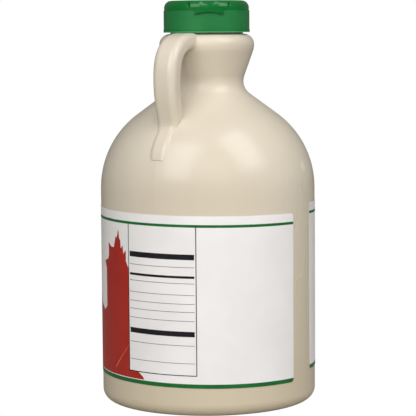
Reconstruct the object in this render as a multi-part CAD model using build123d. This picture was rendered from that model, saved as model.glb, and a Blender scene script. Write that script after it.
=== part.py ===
from build123d import *

import math
import os

# Syrup jug: a blow-moulded plastic jug with a loop handle, a wrap-round label and a flip-top screw cap.
# Millimetres. +Z is up and the jug stands on z = 0 with its axis on Z. The label's front panel faces -Y,
# the handle is on the +X side, and the mould's parting plane is the XZ plane.

# ---- Driving dimensions ----------------------------------------------------------------------------------
# Jug body
body_radius = 51.0
foot_width = 3.4  # of the flat standing ring
base_corner_radius = 5.6
push_up_depth = 3.0  # hollow under the base, inside the standing ring
push_up_run = 6.0  # radial width of the slope from the ring to the hollow
shoulder_start = 101.6  # height at which the straight wall ends
shoulder_radius = 43.3
shoulder_slope = math.radians(53.6)  # the cone under the neck, from the vertical
# Neck and collar
waist_radius = 17.35
waist_bend_radius = 7.4
flare_slope = math.radians(19.7)  # the flare above the waist, from the vertical
collar_overhang = 5.25  # the collar beyond the neck
collar_bulge_radius = 9.8
collar_corner_radius = 5.0
neck_radius = 17.25
neck_height = 9.8  # above the collar
# Handle, a loop in the XZ plane
handle_reach = 38.2  # from the jug's axis to the middle of the grip
handle_top_drop = 3.45  # from the collar's top to the middle of the top arm
handle_tuck = 2.9  # how far the grip leans in above its foot
handle_foot_angle = math.radians(30)  # where the foot dies into the shoulder's arc
handle_foot_sink = 3.4  # its middle line there, under the shoulder's surface
handle_width_top = 13.0
handle_width_foot = 10.2
handle_thickness_top = 7.2
handle_thickness = 9.2
handle_edge_radius = 3.3
handle_blend_radius = 1.6  # where it springs from the collar
# Label
label_thickness = 0.2
label_glue = 0.05  # between the wall and the label
label_bottom = 14.9  # at the middle of the label's width
label_height = 78.9
label_gap = math.radians(17.8)  # bare strip between the two ends
label_turn = math.radians(-2.3)  # the middle of the label, from -Y towards +X
label_skew = 0.0117  # how far the label drops for each millimetre round the jug
label_corner_radius = 1.8
# Cap
cap_gap = 0.7  # between the collar and the cap's lower edge
cap_clearance = 0.2  # between the neck and the cap's bore
cap_wall = 2.9
cap_flare = 0.1  # the skirt is wider at its foot
cap_bead_height = 1.2
cap_bead_step = 0.12
skirt_height = 10.2
lid_step = 0.25  # the lid's wall inside the skirt's
lid_height = 4.8
lid_corner_radius = 3.5
lid_turn = math.radians(32.1)  # the thumb tab, from +X towards +Y
# Thumb tab on the lid
tab_width = 13.6
tab_height = 3.5
tab_waist = 1.5  # height of the tab's lip at its middle
tab_overhang = 1.3  # the lip beyond the lid's wall
tab_drop = 1.8  # the lip's lower corners below the lid's lower edge
tab_clearance = 0.1  # between the lip and the skirt
scoop_width = 14.5
scoop_height = 8.0
scoop_reach = 3.6  # half the scoop's size across the lid's wall
scoop_depth = 2.3
slot_width = 1.7
slot_spacing = 17.6
slot_depth = 2.2
slot_floor = 1.3  # above the lid's lower edge
slot_lean = 1.2  # how far the slot's mouth stands outside its foot
hinge_width = 11.0
hinge_height = 2.4
hinge_depth = 0.8

# ---- Sizes that follow from the dimensions ---------------------------------------------------------------
collar_radius = neck_radius + collar_overhang
cap_radius_top = neck_radius + cap_clearance + cap_wall
cap_radius_bottom = cap_radius_top + cap_flare
lid_radius = cap_radius_top - lid_step
shoulder_centre = body_radius - shoulder_radius
cone_radius = shoulder_centre + shoulder_radius * math.cos(shoulder_slope)
cone_z = shoulder_start + shoulder_radius * math.sin(shoulder_slope)
# The bend at the waist is tangent to the cone and to the flare.
bend_centre = waist_radius + waist_bend_radius
bend_foot = bend_centre - waist_bend_radius * math.cos(shoulder_slope)
bend_run = (cone_radius - bend_foot) / math.tan(shoulder_slope)
waist_z = cone_z + bend_run + waist_bend_radius * math.sin(shoulder_slope)
flare_radius = bend_centre - waist_bend_radius * math.cos(flare_slope)
flare_z = waist_z + waist_bend_radius * math.sin(flare_slope)
bulge_centre = collar_radius - collar_bulge_radius
bulge_foot = bulge_centre + collar_bulge_radius * math.cos(flare_slope)
bulge_foot_z = flare_z + (bulge_foot - flare_radius) / math.tan(flare_slope)
bulge_z = bulge_foot_z + collar_bulge_radius * math.sin(flare_slope)
collar_z = bulge_z + collar_corner_radius
cap_z = collar_z + cap_gap
lid_z = cap_z + skirt_height


def on_circle(centre, height, radius, angle):
    """A point of the XZ half plane on a circle, at an angle above +X."""
    return Vector(centre + radius * math.cos(angle), 0, height + radius * math.sin(angle))


def arc(centre, height, radius, start, end):
    """An arc of the profile between two angles above +X."""
    return ThreePointArc(
        on_circle(centre, height, radius, start),
        on_circle(centre, height, radius, (start + end) / 2),
        on_circle(centre, height, radius, end),
    )


def jug_profile():
    """Half of the jug's section, from the hollow under the base to the top of the neck."""
    corner_centre = body_radius - base_corner_radius
    ring_inner = corner_centre - foot_width
    cone = math.pi + shoulder_slope
    flare = math.pi - flare_slope
    base = Polyline(
        Vector(0, 0, push_up_depth),
        Vector(ring_inner - push_up_run, 0, push_up_depth),
        Vector(ring_inner, 0, 0),
        Vector(corner_centre, 0, 0),
    )
    corner = arc(corner_centre, base_corner_radius, base_corner_radius, -math.pi / 2, 0)
    shoulder = arc(shoulder_centre, shoulder_start, shoulder_radius, 0, shoulder_slope)
    bend = arc(bend_centre, waist_z, waist_bend_radius, cone, flare)
    bulge = arc(bulge_centre, bulge_z, collar_bulge_radius, -flare_slope, 0)
    rim_centre = collar_radius - collar_corner_radius
    rim = arc(rim_centre, bulge_z, collar_corner_radius, 0, math.pi / 2)
    neck = Polyline(
        rim @ 1,
        Vector(neck_radius, 0, collar_z),
        Vector(neck_radius, 0, collar_z + neck_height),
        Vector(0, 0, collar_z + neck_height),
        Vector(0, 0, push_up_depth),
    )
    wall = Line(corner @ 1, shoulder @ 0)
    cone_line = Line(shoulder @ 1, bend @ 0)
    flare_line = Line(bend @ 1, bulge @ 0)
    return make_face([base, corner, wall, shoulder, cone_line, bend, flare_line, bulge, rim, neck])


def under_shoulder(angle, sink):
    """A point under the shoulder's arc, at an angle above the arc's level centre line."""
    return on_circle(shoulder_centre, shoulder_start, shoulder_radius - sink, angle)


def handle_path():
    """The middle line of the handle, from inside the collar to inside the shoulder."""
    grip = handle_reach
    top = collar_z - handle_top_drop
    foot = under_shoulder(handle_foot_angle, handle_foot_sink)
    end = under_shoulder(handle_foot_angle - math.radians(8), handle_foot_sink + 0.9)
    span = top - foot.Z
    return Spline(
        Vector(neck_radius - 3.0, 0, top - 0.1),
        Vector(0.62 * grip, 0, top),
        Vector(0.85 * grip, 0, top - 0.06 * span),
        Vector(0.965 * grip, 0, top - 0.175 * span),
        Vector(grip, 0, top - 0.31 * span),
        Vector(grip, 0, top - 0.45 * span),
        Vector(grip - 0.45 * handle_tuck, 0, top - 0.60 * span),
        Vector(grip - handle_tuck, 0, top - 0.74 * span),
        Vector(grip - 0.75 * handle_tuck, 0, top - 0.84 * span),
        foot,
        end,
        tangents=(Vector(1, 0, 0), end - foot),
    )


def handle():
    """The strap of the handle: rounded sections that narrow towards the foot."""
    path = handle_path()
    steps = 10
    sections = []
    for i in range(steps + 1):
        u = i / steps
        width = handle_width_top + (handle_width_foot - handle_width_top) * u
        swell = min(1.0, 2.5 * u)
        depth = handle_thickness_top + (handle_thickness - handle_thickness_top) * swell
        plane = Plane(origin=path @ u, x_dir=(0, 1, 0), z_dir=path % u)
        sections.append(plane * RectangleRounded(width, depth, handle_edge_radius))
    return loft(sections)


def jug():
    """The bottle and its handle as one closed solid, blended where the handle springs from the collar."""
    body = revolve(jug_profile(), Axis.Z)
    strap = handle()
    whole = body + strap
    seams = [e for e in whole.edges() if is_seam(e)]
    return fillet(seams, handle_blend_radius)


def is_seam(edge):
    """True for the curves along which the handle runs into the collar."""
    return edge.geom_type == GeomType.BSPLINE and all(on_body(edge @ u) for u in (0.25, 0.5, 0.75))


def on_body(spot):
    """True where a point lies on the body's turned surface above the waist."""
    if spot.Z < waist_z:
        return False
    radius = math.hypot(spot.X, spot.Y)
    return abs(radius - profile_radius(spot.Z)) < 0.02 or abs(spot.Z - collar_z) < 0.001


def profile_radius(height):
    """The radius of the turned body at a height, from the waist upwards."""
    if height < flare_z:
        return bend_centre - math.sqrt(waist_bend_radius**2 - (height - waist_z) ** 2)
    if height < bulge_foot_z:
        return flare_radius + (height - flare_z) * math.tan(flare_slope)
    if height < bulge_z:
        return bulge_centre + math.sqrt(collar_bulge_radius**2 - (height - bulge_z) ** 2)
    rise = min(height - bulge_z, collar_corner_radius)
    rim_centre = collar_radius - collar_corner_radius
    return rim_centre + math.sqrt(collar_corner_radius**2 - rise**2)


def label():
    """The wrap-round label: a thin band that runs slightly downhill round the straight wall."""
    radius = body_radius + label_glue + label_thickness / 2
    span = 2 * math.pi - label_gap
    drop = label_skew * radius * span
    path = Helix(drop * 2 * math.pi / span, drop, radius, lefthand=True)
    start = Plane(origin=path @ 0, x_dir=(1, 0, 0), z_dir=path % 0)
    band = sweep(start * Rectangle(label_thickness, label_height), path=path, is_frenet=True)
    ends = [e for e in band.edges() if e.length < 2 * label_thickness]
    band = fillet(ends, label_corner_radius)
    low_end = label_turn - math.pi / 2 + span / 2
    middle_z = label_bottom + label_height / 2 - drop / 2
    return Pos(0, 0, middle_z) * Rot(0, 0, math.degrees(low_end)) * band


def cap_turned(shape):
    """A cap detail made on the +X side, turned to where the thumb tab is."""
    return Rot(0, 0, math.degrees(lid_turn)) * shape


def hinge_pad(low, high, radius):
    """Half of the flat hinge pad, on the far side of the cap from the tab."""
    pad = Pos(-radius, 0, (low + high) / 2) * Box(2 * hinge_depth, hinge_width, high - low)
    return pad


def skirt():
    """The screw part of the cap: a round wall with a bead at its foot, closed by the deck the lid shuts on."""
    bore = neck_radius + cap_clearance
    step_z = cap_z + cap_bead_height
    outline = Polyline(
        Vector(bore, 0, cap_z),
        Vector(cap_radius_bottom, 0, cap_z),
        Vector(cap_radius_bottom, 0, step_z),
        Vector(cap_radius_bottom - cap_bead_step, 0, step_z + cap_bead_step),
        Vector(cap_radius_top, 0, lid_z),
        Vector(0, 0, lid_z),
        Vector(0, 0, collar_z + neck_height),
        Vector(bore, 0, collar_z + neck_height),
        Vector(bore, 0, cap_z),
    )
    wall = revolve(make_face(outline), Axis.Z)
    return wall + cap_turned(hinge_pad(lid_z - hinge_height, lid_z, cap_radius_top))


def lid_lip():
    """The lip of the thumb tab: a bow-shaped bar that hooks over the skirt's top edge."""
    half = tab_width / 2
    low = lid_z - tab_drop
    high = low + tab_height
    middle = (low + high) / 2
    shape = make_face(
        [
            ThreePointArc(
                Vector(0, -half, low),
                Vector(0, 0, middle - tab_waist / 2),
                Vector(0, half, low),
            ),
            Line(Vector(0, half, low), Vector(0, half, high)),
            ThreePointArc(
                Vector(0, half, high),
                Vector(0, 0, middle + tab_waist / 2),
                Vector(0, -half, high),
            ),
            Line(Vector(0, -half, high), Vector(0, -half, low)),
        ]
    )
    bar = extrude(shape, amount=2 * lid_radius, dir=(1, 0, 0))
    outer = Pos(0, 0, lid_z) * Cylinder(lid_radius + tab_overhang, 4 * tab_height)
    inner = Pos(0, 0, lid_z) * Cylinder(cap_radius_top + tab_clearance, 4 * tab_height)
    hook = bar & (outer - inner)
    above = Pos(0, 0, lid_z + tab_height) * Cylinder(lid_radius + tab_overhang, 2 * tab_height)
    root = bar & above & (outer - Pos(0, 0, lid_z) * Cylinder(lid_radius - 1.0, 4 * tab_height))
    return hook + root


def lid_slot(side):
    """A narrow slot beside the thumb scoop, wide at its mouth and leaning outwards."""
    foot = side * slot_spacing / 2
    mouth = foot + side * slot_lean
    low = lid_z + slot_floor
    high = lid_z + lid_height + 1.0
    wedge = make_face(
        Polyline(
            Vector(0, foot - 0.2, low),
            Vector(0, foot + 0.2, low),
            Vector(0, mouth + slot_width / 2, high),
            Vector(0, mouth - slot_width / 2, high),
            Vector(0, foot - 0.2, low),
        )
    )
    reach = math.sqrt(lid_radius**2 - foot**2) - slot_depth
    return Pos(reach, 0, 0) * extrude(wedge, amount=lid_radius, dir=(1, 0, 0))


def lid():
    """The flip-up lid: a low dome-edged disc with a thumb scoop, its lip and the two slots."""
    disc = Pos(0, 0, lid_z + lid_height / 2) * Cylinder(lid_radius, lid_height)
    top_edge = disc.edges().group_by(Axis.Z)[-1]
    disc = fillet(top_edge, lid_corner_radius)
    ball = scale(Sphere(0.5), by=(2 * scoop_reach, scoop_width, scoop_height))
    scoop_x = lid_radius - scoop_depth + scoop_reach
    disc -= cap_turned(Pos(scoop_x, 0, lid_z + lid_height) * ball)
    for side in (-1, 1):
        disc -= cap_turned(lid_slot(side))
    disc += cap_turned(hinge_pad(lid_z, lid_z + hinge_height, lid_radius))
    return disc + cap_turned(lid_lip())


if __name__ == "__main__":
    os.makedirs("parts", exist_ok=True)
    export_step(jug(), "parts/jug.step")
    export_step(label(), "parts/label.step")
    export_step(skirt(), "parts/cap_skirt.step")
    export_step(lid(), "parts/cap_lid.step")
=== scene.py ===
import math

import bmesh
import bpy
from mathutils import Matrix, Vector


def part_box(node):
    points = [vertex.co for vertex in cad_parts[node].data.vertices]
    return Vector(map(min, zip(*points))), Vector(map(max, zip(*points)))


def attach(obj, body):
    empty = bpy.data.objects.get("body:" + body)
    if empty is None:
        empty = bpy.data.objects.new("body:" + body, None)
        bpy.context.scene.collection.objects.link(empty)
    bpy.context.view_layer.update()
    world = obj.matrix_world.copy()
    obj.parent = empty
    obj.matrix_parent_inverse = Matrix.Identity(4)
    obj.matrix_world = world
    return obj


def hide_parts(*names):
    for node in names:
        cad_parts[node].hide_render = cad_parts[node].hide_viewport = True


bl_info = {
    "name": "Syrup Jug",
    "version": (1, 0, 0),
    "blender": (4, 5, 0),
    "location": "3D Viewport > Sidebar > Jug",
    "description": "Plastic syrup jug with a printed wrap-round label and a flip-top cap",
    "category": "Add Mesh",
}

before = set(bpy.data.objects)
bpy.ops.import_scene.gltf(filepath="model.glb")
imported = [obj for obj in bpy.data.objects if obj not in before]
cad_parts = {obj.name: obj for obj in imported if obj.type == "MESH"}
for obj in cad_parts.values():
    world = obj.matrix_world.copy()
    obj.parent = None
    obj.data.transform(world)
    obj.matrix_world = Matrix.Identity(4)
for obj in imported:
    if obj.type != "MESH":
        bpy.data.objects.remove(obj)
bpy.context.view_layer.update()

MM = 0.001

# Metres, in the row frame
FOOT_SHADE_HEIGHT = 0.11  # painted shade: the plastic is darker and warmer below this, most at the foot
# Painted highlight: a small yellowish glint on the jug's shoulder
PAINTED_GLINT = (-0.0021, 0.0495, 0.1129)
PAINTED_GLINT_SIZE = (0.0030, 0.0030, 0.0036)
RIM_HIGHLIGHT_HEIGHTS = (0.0004, 0.0006)  # painted highlight along the lower edge of the cap's skirt, and where it has faded
SHADE_BAND_HEIGHTS = (0.0012, 0.0015)  # painted shade in a strip above it, and where it has faded
RIBS = 120  # round the skirt
TERMINATOR_SHADING = 0.2
TERMINATOR_GEOMETRY = 0.3

# Millimetres along and up the label
FILM_THICKNESS = 0.08
FACET_PITCH = 1.6  # longest flat of the wrapped film
SHARP_ANGLE = math.radians(40)
PRINT_GRAIN = 120  # features per metre in printed colours
PANEL_INSET = 0.6  # between the panel's outline and the ends of its bars
PANEL_BARS = ((60.1, 2.5), (50.9, 1.1), (24.8, 2.4))  # middle and height of each
PANEL_RULES = (55.4, 48.0, 42.7, 38.6, 34.9, 30.8, 19.5, 11.3)
VEIN_START = (65.5, 16.0)
VEIN_END = (56.0, 5.5)
VEIN_WIDTH = 0.45
VEIN_TAPER = 0.4

# How high each print stands on the film, in thicknesses of ink
STRIPE_LAYERS = 1.0
LEAF_LAYERS = 0.5
VEIN_LAYERS = 0.7
PANEL_LAYERS = 0.9
MARK_LAYERS = 1.8

# Studio, in metres; a side is (to the camera's right, towards the camera, up)
FLOOR_REACH = 3.0
AIM_HEIGHT = 0.12
SOFTBOX_REACH = 1.2
SOFTBOX_SIZE = (0.62, 1.0)
KEY_SIDE = (-0.459, 0.667, 0.589)
FILL_SIDE = (0.55, 0.424, 0.72)
FRONT_SIDE = (0.15, 1.6, 0.75)
FRONT_SIZE = (1.2, 0.9)
SENSOR_WIDTH = 36.0  # millimetres
NEAR_CLIP = 0.05


# ---- Settings --------------------------------------------------------------------------------------------
class LabelSettings(bpy.types.PropertyGroup):
    """Sizes of the label and of what is printed on it, in millimetres and degrees."""

    radius: bpy.props.FloatProperty(name="Film radius", default=51.14)
    ink: bpy.props.FloatProperty(name="Ink thickness", default=0.03)
    bottom: bpy.props.FloatProperty(name="Lower edge at the middle", default=14.9)
    height: bpy.props.FloatProperty(name="Height", default=78.9)
    bare: bpy.props.FloatProperty(name="Bare strip between the ends", default=17.8)
    turn: bpy.props.FloatProperty(name="Middle, from -Y towards +X", default=-2.3)
    skew: bpy.props.FloatProperty(name="Drop per millimetre round", default=0.0117)
    corner: bpy.props.FloatProperty(name="Corner radius", default=1.8)
    top_stripe: bpy.props.FloatProperty(name="Top stripe height", default=1.25)
    top_stripe_at: bpy.props.FloatProperty(name="Top stripe, from the lower edge", default=74.3)
    foot_stripe: bpy.props.FloatProperty(name="Bottom stripe height", default=1.85)
    panel_left: bpy.props.FloatProperty(name="Panel's left edge", default=66.8)
    panel_right: bpy.props.FloatProperty(name="Panel's right edge", default=102.5)
    panel_foot: bpy.props.FloatProperty(name="Panel's lower edge", default=5.5)
    frame_line: bpy.props.FloatProperty(name="Panel outline", default=0.4)
    rule: bpy.props.FloatProperty(name="Thin rule", default=0.25)


class StageSettings(bpy.types.PropertyGroup):
    """Where the camera stands and how the studio is lit, in metres and degrees."""

    azimuth: bpy.props.FloatProperty(name="Camera azimuth", default=118.6)
    distance: bpy.props.FloatProperty(name="Camera distance from the axis", default=0.8816)
    height: bpy.props.FloatProperty(name="Camera height", default=0.17715)
    pitch: bpy.props.FloatProperty(name="Camera tilt down", default=5.557)
    yaw: bpy.props.FloatProperty(name="Camera turn to the side", default=-0.003)
    roll: bpy.props.FloatProperty(name="Camera roll", default=-0.42)
    lens: bpy.props.FloatProperty(name="Lens", default=160.1)
    key: bpy.props.FloatProperty(name="Left softbox", default=6.2)
    fill: bpy.props.FloatProperty(name="Right softbox", default=6.6)
    front: bpy.props.FloatProperty(name="Front wash", default=14.6)
    ambient: bpy.props.FloatProperty(name="Ambient", default=0.17)


# ---- Materials -------------------------------------------------------------------------------------------
def linear(code):
    """An sRGB hex colour as linear RGBA."""
    channels = [int(code[i : i + 2], 16) / 255 for i in (1, 3, 5)]
    turned = [c / 12.92 if c <= 0.04045 else ((c + 0.055) / 1.055) ** 2.4 for c in channels]
    return (*turned, 1.0)


def fill(tree, made, values):
    """Sets a node's inputs, or links them where the value is another node's output."""
    for name, value in values.items():
        if isinstance(value, bpy.types.NodeSocket):
            tree.links.new(value, made.inputs[name])
        else:
            made.inputs[name].default_value = value


def node(tree, kind, values=None, **settings):
    """Adds a node, sets its properties, and sets or links its inputs."""
    made = tree.nodes.new(kind)
    for name, value in settings.items():
        setattr(made, name, value)
    fill(tree, made, values or {})
    return made


def blank(name):
    """A new node material with only its output and a Principled shader."""
    material = bpy.data.materials.new(name)
    material.use_nodes = True
    tree = material.node_tree
    tree.nodes.clear()
    shader = node(tree, "ShaderNodeBsdfPrincipled")
    output = node(tree, "ShaderNodeOutputMaterial")
    tree.links.new(shader.outputs["BSDF"], output.inputs["Surface"])
    return material, tree, shader


def object_coords(tree):
    """Places in the object's own space."""
    return node(tree, "ShaderNodeTexCoord").outputs["Object"]


def noise(tree, scale, detail=3.0, rough=0.5, stretch=(1, 1, 1)):
    """Noise in the object's own space, in features per metre."""
    mapped = node(tree, "ShaderNodeMapping", {"Vector": object_coords(tree), "Scale": stretch})
    values = {"Vector": mapped.outputs[0], "Scale": scale, "Detail": detail, "Roughness": rough}
    return node(tree, "ShaderNodeTexNoise", values).outputs["Fac"]


def spread(tree, value, low, high, out_low=0.0, out_high=1.0):
    """A value's range stretched to another, clamped."""
    names = ("Value", "From Min", "From Max", "To Min", "To Max")
    values = dict(zip(names, (value, low, high, out_low, out_high)))
    return node(tree, "ShaderNodeMapRange", values, clamp=True).outputs["Result"]


def mixed(tree, factor, first, second):
    """One colour mixed into another, by the sockets that the Mix node keeps for colours."""
    return node(tree, "ShaderNodeMix", {0: factor, 6: first, 7: second}, data_type="RGBA").outputs[2]


def mottled(tree, field, low_tone, high_tone):
    """A colour that drifts between two tones with a noise field."""
    return mixed(tree, spread(tree, field, 0.35, 0.65), linear(low_tone), linear(high_tone))


def uneven(tree, field, low, high):
    """A value that drifts between two others with a noise field."""
    return spread(tree, field, 0.3, 0.7, low, high)


def maths(tree, operation, first, second=0.0):
    """The result of a Math node."""
    return node(tree, "ShaderNodeMath", {0: first, 1: second}, operation=operation).outputs[0]


def spot(tree, centre, size, soft):
    """1 inside an ellipsoid in the object's own space, falling to 0 over its soft edge."""
    moved = node(tree, "ShaderNodeVectorMath", {0: object_coords(tree), 1: centre}, operation="SUBTRACT")
    inverse = tuple(1 / s for s in size)
    shrunk = node(tree, "ShaderNodeVectorMath", {0: moved.outputs[0], 1: inverse}, operation="MULTIPLY")
    length = node(tree, "ShaderNodeVectorMath", {0: shrunk.outputs[0]}, operation="LENGTH")
    return spread(tree, length.outputs["Value"], 1.0 - soft, 1.0, 1.0, 0.0)


def bumped(tree, height, strength, depth, under=None):
    """A surface raised by a height field of a depth in metres, over another bumped surface if any."""
    values = {"Strength": strength, "Distance": depth, "Height": height}
    if under is not None:
        values["Normal"] = under
    return node(tree, "ShaderNodeBump", values).outputs[0]


def jug_plastic():
    """Cream HDPE: satin, faintly translucent, with flow marks, the mould's parting line, painted shade
    towards the foot and a painted highlight on the shoulder.
    """
    material, tree, shader = blank("Cream HDPE")
    flow = noise(tree, 22, 3, 0.5, (1, 1, 0.35))
    place = node(tree, "ShaderNodeSeparateXYZ", {"Vector": object_coords(tree)}).outputs
    # Painted shade: the base colour darkens and warms towards the foot.
    foot_shade = spread(tree, place["Z"], 0.0, FOOT_SHADE_HEIGHT, 1.0, 0.0)
    base = mixed(tree, foot_shade, mottled(tree, flow, "#D3C8B5", "#D8CEBC"), linear("#CFC2AA"))
    # Painted highlight: a small yellowish spot lightens the base colour.
    glint = spot(tree, PAINTED_GLINT, PAINTED_GLINT_SIZE, 0.6)
    base = mixed(tree, maths(tree, "MULTIPLY", glint, 0.5), base, linear("#F2EAC4"))
    seam = spread(tree, maths(tree, "ABSOLUTE", place["Y"]), 0.0001, 0.0005, 1.0, 0.0)
    grain = bumped(tree, noise(tree, 900, 2), 0.05, 0.00005)
    values = {
        "Base Color": base,
        "Roughness": uneven(tree, flow, 0.22, 0.28),
        "Subsurface Weight": 0.08,
        "Subsurface Radius": (0.004, 0.003, 0.002),
        "Subsurface Scale": 1.0,
        "IOR": 1.5,
        "Normal": bumped(tree, seam, 0.25, 0.00005, grain),
    }
    fill(tree, shader, values)
    return material


def cap_plastic(name, low_tone, high_tone, roughness, ribbed_and_rim_lit):
    """Green polypropylene, moulded satin or polished; the skirt has fine ribs, a painted highlight along
    its lower edge and painted shade in a strip above that.
    """
    material, tree, shader = blank(name)
    mottle = noise(tree, 70, 3)
    base = mottled(tree, mottle, low_tone, high_tone)
    surface = bumped(tree, noise(tree, 1500, 2), 0.12, 0.00004)
    if ribbed_and_rim_lit:
        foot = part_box("cap_skirt")[0].z
        place = node(tree, "ShaderNodeSeparateXYZ", {"Vector": object_coords(tree)}).outputs
        # Painted highlight along the skirt's lower edge, and painted shade in a strip above it.
        rim_highlight = spread(tree, place["Z"], *(foot + h for h in RIM_HIGHLIGHT_HEIGHTS), 1.0, 0.0)
        shade_band = spread(tree, place["Z"], *(foot + h for h in SHADE_BAND_HEIGHTS), 0.3, 0.0)
        base = mixed(tree, shade_band, base, linear("#0C5026"))
        base = mixed(tree, maths(tree, "MULTIPLY", rim_highlight, 0.7), base, linear("#48B06A"))
        turn = maths(tree, "ARCTAN2", place["Y"], place["X"])
        wave = maths(tree, "SINE", maths(tree, "MULTIPLY", turn, RIBS))
        surface = bumped(tree, wave, 0.10, 0.00005, surface)
    values = {
        "Base Color": base,
        "Roughness": uneven(tree, mottle, roughness - 0.04, roughness + 0.04),
        "Specular IOR Level": 0.4,
        "Normal": surface,
    }
    fill(tree, shader, values)
    return material


def film(name, low_tone, high_tone, scale, roughness=0.42):
    """Printed or bare label film: smooth, with faint cloudiness and a fine tooth."""
    material, tree, shader = blank(name)
    cloud = noise(tree, scale, 3)
    values = {
        "Base Color": mottled(tree, cloud, low_tone, high_tone),
        "Roughness": uneven(tree, cloud, roughness - 0.05, roughness + 0.05),
        "Specular IOR Level": 0.25,
        "Normal": bumped(tree, noise(tree, 1200, 2), 0.06, 0.00004),
    }
    fill(tree, shader, values)
    return material


def leaf_ink():
    """The leaf's red: mottled, deeper along soft streaks."""
    material, tree, shader = blank("Red leaf ink")
    cloud = noise(tree, 38, 4, 0.55)
    streak = noise(tree, 30, 3, 0.5, (1, 1, 0.25))
    depth = spread(tree, streak, 0.48, 0.66, 0.0, 0.6)
    values = {
        "Base Color": mixed(tree, depth, mottled(tree, cloud, "#B03024", "#BC3E2E"), linear("#9A1E1C")),
        "Roughness": uneven(tree, cloud, 0.36, 0.46),
        "Specular IOR Level": 0.2,
    }
    fill(tree, shader, values)
    return material


def shown(piece, *materials):
    """Gives a piece its materials."""
    piece.data.materials.clear()
    for material in materials:
        piece.data.materials.append(material)


# ---- Jug and cap -----------------------------------------------------------------------------------------
class MESH_OT_jug_bottle(bpy.types.Operator):
    """Give the jug and its cap their moulded plastics"""

    bl_idname = "mesh.jug_bottle"
    bl_label = "Jug and cap"

    def execute(self, context):
        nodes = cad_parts
        shown(nodes["jug"], jug_plastic())
        nodes["jug"].cycles.shadow_terminator_offset = TERMINATOR_SHADING
        nodes["jug"].cycles.shadow_terminator_geometry_offset = TERMINATOR_GEOMETRY
        skirt = cap_plastic("Satin green polypropylene", "#1A7038", "#20783E", 0.42, True)
        lid = cap_plastic("Glossy green polypropylene", "#076428", "#0B6C2E", 0.2, False)
        shown(nodes["cap_skirt"], skirt)
        shown(nodes["cap_lid"], lid)
        return {"FINISHED"}


# ---- Label -----------------------------------------------------------------------------------------------
def rounded_sheet(left, low, right, high, radius, steps=6):
    """The outline of a rectangle with rounded corners, anticlockwise."""
    outline = []
    centres = (
        (right - radius, low + radius, -90),
        (right - radius, high - radius, 0),
        (left + radius, high - radius, 90),
        (left + radius, low + radius, 180),
    )
    for x, y, start in centres:
        for i in range(steps + 1):
            angle = math.radians(start + 90 * i / steps)
            outline.append((x + radius * math.cos(angle), y + radius * math.sin(angle)))
    return outline


def box_outline(left, low, right, high):
    """The outline of a rectangle, anticlockwise."""
    return [(left, low), (right, low), (right, high), (left, high)]


def wrapped(name, outlines, inner, outer, material, label):
    """Flat outlines, in millimetres along and up the label, cut from film and wrapped round the jug."""
    bm = bmesh.new()
    for outline in outlines:
        bm.faces.new([bm.verts.new((x, y, 0)) for x, y in outline])
    ends = [v.co.x / FACET_PITCH for v in bm.verts]
    for i in range(math.floor(min(ends)) + 1, math.ceil(max(ends))):
        parts = bm.verts[:] + bm.edges[:] + bm.faces[:]
        bmesh.ops.bisect_plane(bm, geom=parts, plane_co=(i * FACET_PITCH, 0, 0), plane_no=(1, 0, 0))
    grown = bmesh.ops.extrude_face_region(bm, geom=bm.faces[:])
    top = {v for v in grown["geom"] if isinstance(v, bmesh.types.BMVert)}
    for vert in bm.verts:
        radius = outer if vert in top else inner
        angle = math.radians(label.turn) + vert.co.x / label.radius
        height = label.bottom + vert.co.y - label.skew * vert.co.x
        vert.co = Vector((math.sin(angle) * radius, -math.cos(angle) * radius, height)) * MM
    bmesh.ops.triangulate(bm, faces=[f for f in bm.faces if len(f.verts) > 4])
    bmesh.ops.recalc_face_normals(bm, faces=bm.faces)
    mesh = bpy.data.meshes.new(name)
    bm.to_mesh(mesh)
    bm.free()
    piece = bpy.data.objects.new(name, mesh)
    bpy.context.scene.collection.objects.link(piece)
    mesh.shade_smooth()
    mesh.set_sharp_from_angle(angle=SHARP_ANGLE)
    shown(piece, material)
    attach(piece, "root")
    return piece


def leaf_outline():
    """A broad maple leaf that stands on the label's foot and runs behind the panel."""
    return [
        (10.6, 2.2),
        (70.0, 2.2),
        (76.0, 2.2),
        (75.2, 3.6),
        (73.6, 4.8),
        (71.0, 6.6),
        (70.5, 8.0),
        (70.5, 52.0),
        (66.9, 53.0),
        (64.5, 57.0),
        (65.0, 61.3),
        (63.2, 59.4),
        (62.6, 63.2),
        (61.2, 61.8),
        (60.8, 65.8),
        (60.0, 66.2),
        (59.3, 70.6),
        (57.8, 66.4),
        (56.8, 67.0),
        (55.2, 61.8),
        (52.8, 61.6),
        (49.2, 63.6),
        (50.0, 58.6),
        (48.6, 55.6),
        (44.4, 54.4),
        (46.6, 50.6),
        (47.2, 46.0),
        (48.0, 38.0),
        (46.6, 33.0),
        (43.0, 30.8),
        (36.6, 33.4),
        (30.6, 39.0),
        (29.2, 34.6),
        (22.6, 35.4),
        (24.6, 29.0),
        (17.2, 26.0),
        (21.2, 21.0),
        (12.0, 16.6),
        (18.6, 12.0),
        (12.6, 8.0),
    ]


def panel_marks(label):
    """The panel's outline, its heavy bars and its thin rules, as three lists of outlines."""
    left, right, foot = label.panel_left, label.panel_right, label.panel_foot
    head = label.top_stripe_at
    line = label.frame_line
    outline = [
        box_outline(left, foot, left + line, head),
        box_outline(right - line, foot, right, head),
        box_outline(left + line, foot, right - line, foot + line),
    ]
    inset = line + PANEL_INSET

    def across(middle, height):
        return box_outline(left + inset, middle - height / 2, right - inset, middle + height / 2)

    bars = [across(middle, height) for middle, height in PANEL_BARS]
    rules = [across(middle, label.rule) for middle in PANEL_RULES]
    return outline, bars, rules


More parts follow.
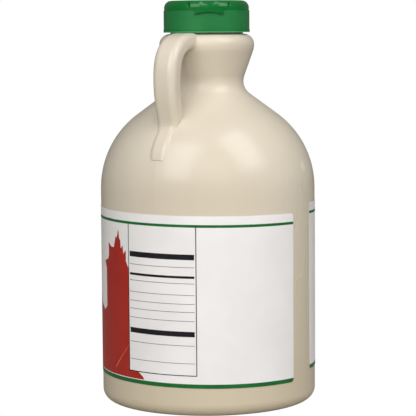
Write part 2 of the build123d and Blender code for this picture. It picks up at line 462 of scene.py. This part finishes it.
def rounded_foot(span, height, radius, steps=6):
    """The stripe along the label's foot, following its two rounded lower corners."""
    outline = []
    for side, start in ((1, -90), (-1, 180)):
        for i in range(steps + 1):
            angle = math.radians(start + 90 * i / steps)
            x = side * (span - radius) + radius * math.cos(angle)
            outline.append((x, min(radius + radius * math.sin(angle), height)))
        if side == 1:
            outline += [(span, height), (-span, height)]
    return outline


def vein():
    """A thin line between two points of the label, tapering towards its start."""
    first, last = Vector(VEIN_START), Vector(VEIN_END)
    along = last - first
    across = Vector((-along.y, along.x)).normalized() * VEIN_WIDTH / 2
    tip = across * VEIN_TAPER
    corners = (first - tip, first + tip, last + across, last - across)
    return [tuple(c) for c in corners]


class MESH_OT_jug_label(bpy.types.Operator):
    """Add the label film and the fields of colour printed on it"""

    bl_idname = "mesh.jug_label"
    bl_label = "Label"

    def execute(self, context):
        label = context.scene.jug_label
        surface = label.radius

        def printed(name, outlines, layers, colour):
            wrapped(name, outlines, surface, surface + layers * label.ink, colour, label)

        span = surface * math.radians(360 - label.bare) / 2
        sheet = rounded_sheet(-span, 0, span, label.height, label.corner)
        white = film("White label film", "#E9E7E6", "#EFEDED", 40)
        piece = wrapped("label_film", [sheet], surface - FILM_THICKNESS, surface, white, label)
        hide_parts("label")

        green = film("Green ink", "#17602C", "#1C6B33", PRINT_GRAIN, 0.38)
        black = film("Black ink", "#15151A", "#1C1C22", PRINT_GRAIN, 0.38)
        grey = film("Grey ink", "#6A6A6C", "#747476", PRINT_GRAIN, 0.4)
        orange = film("Orange ink", "#D87A3C", "#E08A4A", PRINT_GRAIN, 0.4)
        stripe_low = label.top_stripe_at - label.top_stripe / 2
        stripe_high = stripe_low + label.top_stripe
        top_stripe = box_outline(-span, stripe_low, span, stripe_high)
        foot_stripe = rounded_foot(span, label.foot_stripe, label.corner)
        field = box_outline(label.panel_left, label.panel_foot, label.panel_right, stripe_low)
        outline, bars, rules = panel_marks(label)
        printed("label_stripes", [top_stripe, foot_stripe], STRIPE_LAYERS, green)
        printed("label_leaf", [leaf_outline()], LEAF_LAYERS, leaf_ink())
        printed("label_vein", [vein()], VEIN_LAYERS, orange)
        printed("label_panel", [field], PANEL_LAYERS, white)
        printed("label_panel_bars", outline + bars, MARK_LAYERS, black)
        printed("label_panel_rules", rules, MARK_LAYERS, grey)
        return {"FINISHED"}


# ---- Stage -----------------------------------------------------------------------------------------------
def from_camera(stage, sideways, forward, up):
    """A direction given to the camera's right, towards the camera and up, in the row frame."""
    azimuth = math.radians(stage.azimuth)
    towards = Vector((math.sin(azimuth), -math.cos(azimuth), 0))
    right = Vector((math.cos(azimuth), math.sin(azimuth), 0))
    return sideways * right + forward * towards + up * Vector((0, 0, 1))


def softbox(name, place, target, width, height, power):
    """A rectangular area light that faces a point."""
    data = bpy.data.lights.new(name, "AREA")
    data.shape = "RECTANGLE"
    data.size, data.size_y = width, height
    data.energy = power
    light = bpy.data.objects.new(name, data)
    light.location = place
    light.rotation_euler = (target - place).to_track_quat("-Z", "Y").to_euler()
    bpy.context.scene.collection.objects.link(light)
    return light


def backdrop_material():
    """Pale floor that the camera sees as plain white."""
    material = bpy.data.materials.new("White paper floor")
    material.use_nodes = True
    tree = material.node_tree
    tree.nodes.clear()
    fibre = noise(tree, 300, 3)
    tone = mixed(tree, spread(tree, fibre, 0.4, 0.6), linear("#A8A49C"), linear("#B0ACA4"))
    matt = node(tree, "ShaderNodeBsdfDiffuse", {"Color": tone})
    glow = node(tree, "ShaderNodeEmission", {"Color": (1, 1, 1, 1), "Strength": 1.0})
    path = node(tree, "ShaderNodeLightPath")
    values = {0: path.outputs["Is Camera Ray"], 1: matt.outputs[0], 2: glow.outputs[0]}
    mix = node(tree, "ShaderNodeMixShader", values)
    output = node(tree, "ShaderNodeOutputMaterial")
    tree.links.new(mix.outputs[0], output.inputs["Surface"])
    return material


def white_world(ambient):
    """Soft studio surroundings: white to the camera, dimmer to the object."""
    world = bpy.data.worlds.new("Studio")
    world.use_nodes = True
    tree = world.node_tree
    tree.nodes.clear()
    path = node(tree, "ShaderNodeLightPath")
    strength = spread(tree, path.outputs["Is Camera Ray"], 0.0, 1.0, ambient, 1.0)
    back = node(tree, "ShaderNodeBackground", {"Color": (1, 1, 1, 1), "Strength": strength})
    output = node(tree, "ShaderNodeOutputWorld")
    tree.links.new(back.outputs[0], output.inputs["Surface"])
    return world


def add_floor(scene):
    """The paper that the jug stands on."""
    far = FLOOR_REACH
    mesh = bpy.data.meshes.new("floor")
    corners = [(-far, -far, 0), (far, -far, 0), (far, far, 0), (-far, far, 0)]
    mesh.from_pydata(corners, [], [(0, 1, 2, 3)])
    floor = bpy.data.objects.new("floor", mesh)
    scene.collection.objects.link(floor)
    shown(floor, backdrop_material())


def add_lights(stage):
    """Two softboxes that the plastic mirrors, and a front wash that it doesn't."""
    middle = Vector((0, 0, AIM_HEIGHT))
    for name, side, power in (("key", KEY_SIDE, stage.key), ("fill", FILL_SIDE, stage.fill)):
        place = middle + SOFTBOX_REACH * from_camera(stage, *side)
        softbox(name, place, middle, *SOFTBOX_SIZE, power)
    place = middle + from_camera(stage, *FRONT_SIDE)
    front = softbox("front", place, middle, *FRONT_SIZE, stage.front)
    front.visible_glossy = False


def add_camera(scene, stage):
    """The camera, turned, tilted and rolled at its place."""
    data = bpy.data.cameras.new("camera")
    data.lens = stage.lens
    data.sensor_width = SENSOR_WIDTH
    data.clip_start = NEAR_CLIP
    camera = bpy.data.objects.new("camera", data)
    place = from_camera(stage, 0, stage.distance, stage.height)
    turned = Matrix.Rotation(math.radians(stage.azimuth + stage.yaw), 4, "Z")
    tilted = Matrix.Rotation(math.radians(90 - stage.pitch), 4, "X")
    rolled = Matrix.Rotation(math.radians(stage.roll), 4, "Z")
    camera.matrix_world = Matrix.Translation(place) @ turned @ tilted @ rolled
    scene.collection.objects.link(camera)
    scene.camera = camera


class SCENE_OT_jug_stage(bpy.types.Operator):
    """Set up the floor, the lights and the camera"""

    bl_idname = "scene.jug_stage"
    bl_label = "Stage"

    def execute(self, context):
        scene = context.scene
        stage = scene.jug_stage
        add_floor(scene)
        scene.world = white_world(stage.ambient)
        add_lights(stage)
        add_camera(scene, stage)
        scene.view_settings.view_transform = "Standard"
        return {"FINISHED"}


class VIEW3D_PT_jug(bpy.types.Panel):
    """Sidebar panel with one button for each part of the jug"""

    bl_label = "Syrup Jug"
    bl_space_type = "VIEW_3D"
    bl_region_type = "UI"
    bl_category = "Jug"

    def draw(self, context):
        for kind in OPERATORS:
            self.layout.operator(kind.bl_idname)


OPERATORS = (MESH_OT_jug_bottle, MESH_OT_jug_label, SCENE_OT_jug_stage)
CLASSES = (LabelSettings, StageSettings, *OPERATORS, VIEW3D_PT_jug)


def register():
    for kind in CLASSES:
        bpy.utils.register_class(kind)
    bpy.types.Scene.jug_label = bpy.props.PointerProperty(type=LabelSettings)
    bpy.types.Scene.jug_stage = bpy.props.PointerProperty(type=StageSettings)


def unregister():
    del bpy.types.Scene.jug_stage
    del bpy.types.Scene.jug_label
    for kind in reversed(CLASSES):
        bpy.utils.unregister_class(kind)


def main():
    register()
    bpy.ops.mesh.jug_bottle()
    bpy.ops.mesh.jug_label()
    bpy.ops.scene.jug_stage()


if __name__ == "__main__":
    main()
